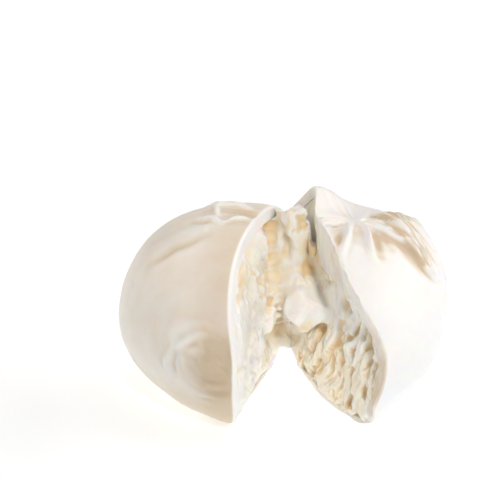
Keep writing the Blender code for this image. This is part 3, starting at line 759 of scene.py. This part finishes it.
def inner_outline():
    """The filling's outline on the cut plane, as points (reach from the hinge, height)."""
    turns = np.linspace(0, 2 * math.pi, 181)
    unit = np.column_stack([np.zeros(len(turns)), -np.cos(turns), np.sin(turns)])
    y, z = closed_ball(unit, SKIN[0], BASE_SKIN)[:, 1:].T
    return np.column_stack([HINGE_Y - y, z])


def is_inside(outline, reach, z):
    """Whether a place on the cut plane lies inside the filling's outline."""
    inside = False
    for (r0, z0), (r1, z1) in zip(outline[:-1], outline[1:]):
        if (z0 > z) != (z1 > z) and reach < r0 + (z - z0) / (z1 - z0) * (r1 - r0):
            inside = not inside
    return inside


class Curds:
    """Gathers many lumps of curd into one mesh."""

    def __init__(self):
        bm = bmesh.new()
        bmesh.ops.create_icosphere(bm, subdivisions=3, radius=1)
        self.ball = np.array([v.co for v in bm.verts])
        self.faces = np.array([[v.index for v in f.verts] for f in bm.faces])
        bm.free()
        self.points, self.number = [], 0

    def add(self, centre, radii, axes):
        """A lump stretched along three axes, with flats hewn on it and made uneven by noise."""
        self.number += 1
        bulge = 1 + 0.15 * noise(self.ball, 0.9, 100 + self.number)
        for turn in range(9):
            angle, rise = 2.4 * turn + 1.7 * self.number, 0.85 - 0.21 * turn
            side = math.sqrt(1 - rise**2)
            flat = self.ball @ np.array((side * math.cos(angle), side * math.sin(angle), rise))
            bulge = np.minimum(bulge, 0.8 / np.maximum(flat, 0.1))
        local = self.ball * bulge[:, None] * np.array(radii)
        turned = local @ np.array([list(a) for a in axes])
        self.points.append(turned + np.array(centre))

    def mesh(self, name):
        faces = [self.faces + i * len(self.ball) for i in range(len(self.points))]
        return mesh_of(name, np.vstack(self.points), np.vstack(faces).tolist())


def add_face_curds(curds):
    """Lumps on the left half's face of the cut, each kept within the filling's outline."""
    outline = inner_outline()
    for reach, z, width, length, lean, proud in FACE_CURDS:
        reach, z = reach * MM, z * MM
        room = np.hypot(outline[:, 0] - reach, outline[:, 1] - z).min() + SPILL
        size = min(width * MM, room)
        stretch = min(length / width, max(1, room / size))
        spot, along, out = face_frame(-1, reach, z)
        up = (Vector((0, 0, 1)) + along * math.tan(math.radians(lean))).normalized()
        across = up.cross(out).normalized()
        spot += out * (proud * MM)
        curds.add(spot, (size, size * 0.8, size * stretch), (across, out, up))


def back_wall():
    """The torn curd between the halves: a wedge from the hinge line forward."""
    outline = inner_outline()
    turns = np.linspace(0, math.pi, 91)
    rise = np.column_stack([0 * turns, np.cos(turns), np.sin(turns)])
    crest, base = closed_ball(rise, 2 * MM), closed_ball(rise * (1, 1, -1), 2 * MM, 1.5 * MM)
    heights, *depths = (np.array(WALL) * MM).T
    rings = []
    for z in np.linspace(heights[0], heights[-1], WALL_RINGS):
        sides = {-1: [], 1: []}
        for side, share in itertools.product((-1, 1), WALL_SHARES):
            reach = share * np.interp(z, heights, depths[(side + 1) // 2])
            room = np.hypot(outline[:, 0] - reach, outline[:, 1] - z).min()
            room *= 1 if is_inside(outline, reach, z) else -1
            blend = float(smoothstep((room - 0.4 * MM) / (1.6 * MM)))
            spot, _, out = face_frame(side, reach, z)
            # Between the ball's base and its crest, and a little over the crest in front.
            highest = np.interp(reach - HINGE_Y, -crest[:, 1], crest[:, 2])
            lowest = np.interp(reach - HINGE_Y, -base[:, 1], base[:, 2])
            spot.z = min(z, highest + 4 * MM * smoothstep((reach - 10 * MM) / (3 * MM)))
            spot.z = max(spot.z, lowest)
            # Sunk into the half where there is room, and held short of the skin.
            spot -= out * (-0.3 + 1.5 * blend) * MM
            spot.x = side * max(spot.x * side, 0.05 * MM)
            sides[side].append(spot)
        middle = (sides[-1][-1] + sides[1][-1]) / 2 - Vector((0, 1.2 * MM, 0))
        rings.append(sides[-1] + [middle] + sides[1][::-1])
    index, quads = ring_quads(len(rings), len(rings[0]))
    faces = quads.tolist() + [index[0][::-1].tolist(), index[-1].tolist()]
    flat = np.array([list(p) for ring in rings for p in ring])
    return new_object("wall", mesh_of("wall", flat, faces))


def neighbour_mean(mesh, values, rounds):
    """Spreads a value from each vertex to its neighbours, several times over."""
    edges = np.empty(len(mesh.edges) * 2, dtype=np.int64)
    mesh.edges.foreach_get("vertices", edges)
    a, b = edges.reshape(-1, 2).T
    count = len(mesh.vertices)
    degree = np.bincount(a, minlength=count) + np.bincount(b, minlength=count)
    for _ in range(rounds):
        total = np.bincount(a, values[b], count) + np.bincount(b, values[a], count)
        values = 0.5 * values + 0.5 * total / np.maximum(degree, 1)
    return values


def gap_depth(points):
    """How far points stand out of the cut's faces into the gap, and the way they lie."""
    x, y, z = points.T
    reach, sweep = np.hypot(x, y - HINGE_Y), np.arctan2(x, HINGE_Y - y)
    left, right = opening_at(z)
    front = smoothstep((reach - HINGE_Y) / (0.5 * BALL_RADIUS))
    right = right + TOE_TURN * np.exp(-((z / TOE_HEIGHT) ** 2)) * front
    proud = reach * np.sin(np.minimum(sweep + left, right - sweep))
    return proud, sweep - (right - left) / 2, reach


def calmness(points):
    """How calm the curd is at each point: near 1 where it is smooth."""
    calm = np.zeros(len(points))
    for centre, radius, most in CALM:
        away = np.linalg.norm(points - np.array(centre) * MM, axis=1)
        calm = np.maximum(calm, most * smoothstep((1.25 - away / (radius * MM)) / 0.5))
    return calm


def torn_relief(points, sweep, reach):
    """The curds' torn surface: how far it stands proud, and its painted shade in pits and hollows.
    """
    z = points[:, 2]
    wall = smoothstep((18 * MM - reach) / (3 * MM)) * smoothstep((z - 33 * MM) / (5 * MM))
    right = smoothstep(sweep / 0.16 + 0.5) * (1 - wall)
    left = 1 - right - wall
    rough = 1 - calmness(points)
    bend = np.column_stack([layered_noise(points, 6 * MM, 3, 40 + i) for i in range(3)])
    bent = points + 1.0 * MM * bend
    slow = layered_noise(points, SLOW_SIZE, 2, 80)
    # The right face: long flakes that lean back, with pits between them.
    leaning = np.column_stack([bent[:, 0], bent[:, 1] + 0.35 * bent[:, 2], bent[:, 2] / 3.8])
    flakes = layered_noise(leaning, FLAKE_SIZE, 2, 50)
    pits = smoothstep((flakes + 0.05) / 0.65) * rough
    ridges = 1 - 2 * np.abs(noise(leaning, RIDGE_SIZE, 60))
    flaky = RIGHT_PROUD - PIT_DEPTH * pits + RIDGE_HEIGHT * ridges * (1 - pits) * rough
    out = right * MM * (flaky + RIGHT_SLOW * slow)
    # The left face: soft lumps and shallow pits.
    lumps = layered_noise(points, LUMP_SIZE, 2, 75)
    soft_pits = smoothstep((layered_noise(bent, SOFT_PIT_SIZE, 2, 55) - 0.25) / 0.4) * rough
    lumpy = LUMP_HEIGHT * lumps * rough + LEFT_SLOW * slow - SOFT_PIT_DEPTH * soft_pits
    out += left * MM * (lumpy + LEFT_RIDGE_HEIGHT * ridges)
    # The back wall: strings that hang down.
    string = bent @ np.array([(0.8, -0.6, 0.1), (0.6, 0.8, 0.0), (0.15, 0.1, 0.2)])
    strings = 1 - 2 * np.abs(layered_noise(string, STRING_SIZE, 2, 90))
    out += strings * STRING_HEIGHT * wall * MM * (0.35 + 0.65 * rough)
    out += GRAIN_HEIGHT * noise(points, GRAIN_SIZE, 95) * (0.3 + 0.7 * rough)
    hollow = np.zeros(len(points))
    for centre, radius, tall, depth in HOLLOWS:
        away = (points - np.array(centre) * MM) / (np.array((radius, radius, tall)) * MM)
        dip = np.exp(-np.sum(away**2, axis=1))
        out -= depth * MM * dip
        hollow = np.maximum(hollow, dip)
    # Painted shade in the right face's pits, the left face's soft pits, the hollows and a little on
    # the wall; less tone where the curd is calm.
    deep = pits * right + 0.6 * soft_pits * left + 1.3 * hollow + 0.1 * wall
    return out, deep - 0.3 * (1 - rough)


def filling_form():
    """The core of both halves with the lumps and the back wall fused on, before its relief."""
    coarse = 1.0
    inset = [skin - BEHIND_SKIN for skin in SKIN]
    base_inset = BASE_SKIN - 0.5 * MM
    core, _ = sliced_ball("filling_curds", CORE_SPACING * coarse, inset, base_inset, CORE_DEEPER)
    cut(core, [neck(-BEHIND_SKIN), knife(CORE_KNIFE_SPACING * coarse)])
    move_points(core.data, open_up(mesh_points(core.data)))
    curds = Curds()
    add_face_curds(curds)
    upright = (Vector((1, 0, 0)), Vector((0, 1, 0)), Vector((0, 0, 1)))
    for centre, radii in WALL_LUMPS:
        curds.add(Vector(centre) * MM, [r * MM for r in radii], upright)
    loose = new_object("loose", curds.mesh("loose"))
    wall = back_wall()
    bm = bmesh.new()
    for obj in (core, loose, wall):
        bm.from_mesh(obj.data)
    bmesh.ops.recalc_face_normals(bm, faces=bm.faces)
    bm.to_mesh(core.data)
    bm.free()
    for obj in (loose, wall):
        bpy.data.objects.remove(obj)
    remesh = core.modifiers.new("fuse", "REMESH")
    remesh.mode, remesh.voxel_size = "VOXEL", VOXEL * 1
    soften = core.modifiers.new("soften", "SMOOTH")
    soften.factor, soften.iterations = 0.5, 14
    apply_modifiers(core)
    return core


def thin_hidden(core):
    """Thins the mesh, except on the sides of the gap."""
    proud, _, _ = gap_depth(mesh_points(core.data))
    shown = np.flatnonzero(proud > -2.0 * MM).tolist()
    hidden = core.vertex_groups.new(name="hidden")
    hidden.add(range(len(core.data.vertices)), 1.0, "REPLACE")
    hidden.add(shown, 0.0, "REPLACE")
    thin = core.modifiers.new("thin", "DECIMATE")
    thin.vertex_group, thin.vertex_group_factor = "hidden", 10.0
    thin.ratio = KEPT_SHARE
    apply_modifiers(core)


def curd_tone(mesh, z, sweep, reach, deep):
    """Tone: painted shade in pits and low on the right face, painted light on the left flap."""
    # Painted shade in pits and creases of the curd.
    pit = pit_share(mesh, 8, 0.35 * MM, -0.6) * 0.45
    pit += pit_share(mesh, 60, 1.6 * MM, -0.5) * 0.55
    # Painted light on the flap at the left.
    flap = smoothstep((0.1 - sweep) / 0.2) * smoothstep((34 * MM - z) / (5 * MM))
    flap *= smoothstep((reach - 25 * MM) / (6 * MM))
    # Painted shade low on the right face.
    low = smoothstep(sweep / 0.2 + 0.2) * smoothstep((26 * MM - z) / (12 * MM))
    tone = CURD_TONE + PIT_SHADE * pit + TORN_SHADE * deep
    return tone - FLAP_LIGHT * flap + LOW_SHADE * low


def make_filling():
    core = filling_form()
    thin_hidden(core)
    mesh = core.data
    points = mesh_points(mesh)
    z = points[:, 2]
    proud, sweep, reach = gap_depth(points)
    weight = smoothstep((proud + 1.9 * MM) / (1.2 * MM))
    seen = np.flatnonzero(weight > 0)
    lift, deep = np.zeros(len(points)), np.zeros(len(points))
    lift[seen], deep[seen] = torn_relief(points[seen], sweep[seen], reach[seen])
    lift = neighbour_mean(mesh, lift, 2) * weight
    peak = smoothstep((z - 50 * MM) / (6 * MM)) * (sweep > 0)
    foot = smoothstep((9 * MM - z) / (4 * MM))
    lift -= FACE_RECESS * weight * (1 - peak) * (1 - foot)
    lift -= HIDDEN_RECESS * (1 - weight)
    way = np.column_stack([neighbour_mean(mesh, axis, 4) for axis in mesh_normals(mesh).T])
    way /= np.maximum(np.linalg.norm(way, axis=1), 1e-6)[:, None]
    move_points(mesh, points + way * lift[:, None] - ORIGIN)
    set_tone(mesh, curd_tone(mesh, z, sweep, reach, deep))
    mesh.shade_smooth()
    return core


def add_noise(nodes, links, place, scale, detail):
    made = nodes.new("ShaderNodeTexNoise")
    made.inputs["Scale"].default_value = scale
    made.inputs["Detail"].default_value = detail
    links.new(place.outputs["Object"], made.inputs["Vector"])
    return made.outputs["Fac"]


def curd_material(name, pale, deep, spread):
    """Moist curd: pale on what stands proud, deeper where the tone, mostly painted shade, is 1."""
    made = bpy.data.materials.new(name)
    made.use_nodes = True
    nodes, links = made.node_tree.nodes, made.node_tree.links
    shader = nodes["Principled BSDF"]
    for socket, value in (
        ("Roughness", ROUGHNESS),
        ("IOR", IOR),
        ("Subsurface Weight", GLOW),
        ("Subsurface Radius", GLOW_RADIUS),
        ("Subsurface Scale", spread),
    ):
        shader.inputs[socket].default_value = value
    place = nodes.new("ShaderNodeTexCoord")
    tone = nodes.new("ShaderNodeAttribute")
    tone.attribute_name = "tone"
    share = nodes.new("ShaderNodeMath")
    share.operation = "MULTIPLY_ADD"
    share.inputs[1].default_value = CLOUD_SHARE
    links.new(add_noise(nodes, links, place, CLOUD_SCALE, 4), share.inputs[0])
    links.new(tone.outputs["Fac"], share.inputs[2])
    ramp = nodes.new("ShaderNodeMapRange")
    ramp.inputs["From Min"].default_value, ramp.inputs["From Max"].default_value = TONE_RANGE
    links.new(share.outputs["Value"], ramp.inputs["Value"])
    mix = nodes.new("ShaderNodeMix")
    mix.data_type = "RGBA"
    colours = [i for i in mix.inputs if i.type == "RGBA"]
    colours[0].default_value, colours[1].default_value = (*pale, 1), (*deep, 1)
    links.new(ramp.outputs["Result"], mix.inputs[0])
    mixed = next(o for o in mix.outputs if o.type == "RGBA")
    links.new(mixed, shader.inputs["Base Color"])
    bump = nodes.new("ShaderNodeBump")
    bump.inputs["Strength"].default_value = GRAIN_STRENGTH
    bump.inputs["Distance"].default_value = GRAIN_DISTANCE
    links.new(add_noise(nodes, links, place, GRAIN_SCALE, 3), bump.inputs["Height"])
    links.new(bump.outputs["Normal"], shader.inputs["Normal"])
    return made


def dress(obj, made):
    obj.data.materials.clear()
    obj.data.materials.append(made)
    obj.data.polygons.foreach_set("material_index", [0] * len(obj.data.polygons))


def make_floor():
    bm = bmesh.new()
    bmesh.ops.create_grid(bm, x_segments=1, y_segments=1, size=1.5)
    mesh = bpy.data.meshes.new("floor")
    bm.to_mesh(mesh)
    bm.free()
    floor = new_object("floor", mesh)
    made = bpy.data.materials.new("pale_floor")
    made.use_nodes = True
    shader = made.node_tree.nodes["Principled BSDF"]
    shader.inputs["Base Color"].default_value = (*FLOOR_COLOUR, 1)
    shader.inputs["Roughness"].default_value = 0.9
    shader.inputs["Emission Color"].default_value = (*FLOOR_GLOW_COLOUR, 1)
    shader.inputs["Emission Strength"].default_value = FLOOR_GLOW
    floor.data.materials.append(made)


def make_light(name, place, aim, energy, colour, size, cone):
    """A soft panel, or a spotlight where there is a cone."""
    light = bpy.data.lights.new(name, "SPOT" if cone else "AREA")
    light.energy, light.color = energy, colour
    if cone:
        light.shadow_soft_size = size
        light.spot_size, light.spot_blend = math.radians(cone), 1
    else:
        light.size = size
    obj = bpy.data.objects.new(name, light)
    obj.location = place
    way = Vector(aim) - Vector(place)
    obj.rotation_euler = way.to_track_quat("-Z", "Y").to_euler()
    bpy.context.scene.collection.objects.link(obj)


def make_view():
    """The camera at the photograph's angle, the world, and the lights."""
    scene = bpy.context.scene
    focal = CAMERA_DISTANCE / PIXEL  # in pixels
    back = Vector((0, -math.cos(CAMERA_TILT), math.sin(CAMERA_TILT)))
    up = Vector((0, math.sin(CAMERA_TILT), math.cos(CAMERA_TILT)))
    hinge_foot = Vector((0, HINGE_Y, 0)) - Vector(ORIGIN)
    right_by = (HINGE_PIXEL[0] - PICTURE / 2) / focal * CAMERA_DISTANCE
    up_by = (PICTURE / 2 - HINGE_PIXEL[1]) / focal * CAMERA_DISTANCE
    camera = bpy.data.cameras.new("camera")
    camera.sensor_width, camera.lens = 36, 36 * focal / PICTURE
    camera.clip_start, camera.clip_end = 0.01, 20
    obj = bpy.data.objects.new("camera", camera)
    obj.location = hinge_foot + back * CAMERA_DISTANCE - Vector((right_by, 0, 0)) - up * up_by
    obj.rotation_euler = (-back).to_track_quat("-Z", "Y").to_euler()
    scene.collection.objects.link(obj)
    scene.camera = obj
    world = bpy.data.worlds.new("studio")
    world.use_nodes = True
    sky = world.node_tree.nodes["Background"]
    sky.inputs["Color"].default_value = (*SKY_COLOUR, 1)
    sky.inputs["Strength"].default_value = SKY_STRENGTH
    scene.world = world
    for light in LIGHTS:
        make_light(*light)
    scene.view_settings.view_transform = "Standard"


make_view()
make_floor()
pouch = make_pouch()
filling = make_filling()
dress(pouch, curd_material("skin", *SKIN_LOOK))
dress(filling, curd_material("curds", *CURD_LOOK))
for piece, node, slot in ((pouch, "pouch", "pouch_skin"), (filling, "filling", "cream_curds")):
    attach(piece, "root")
    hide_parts(node)
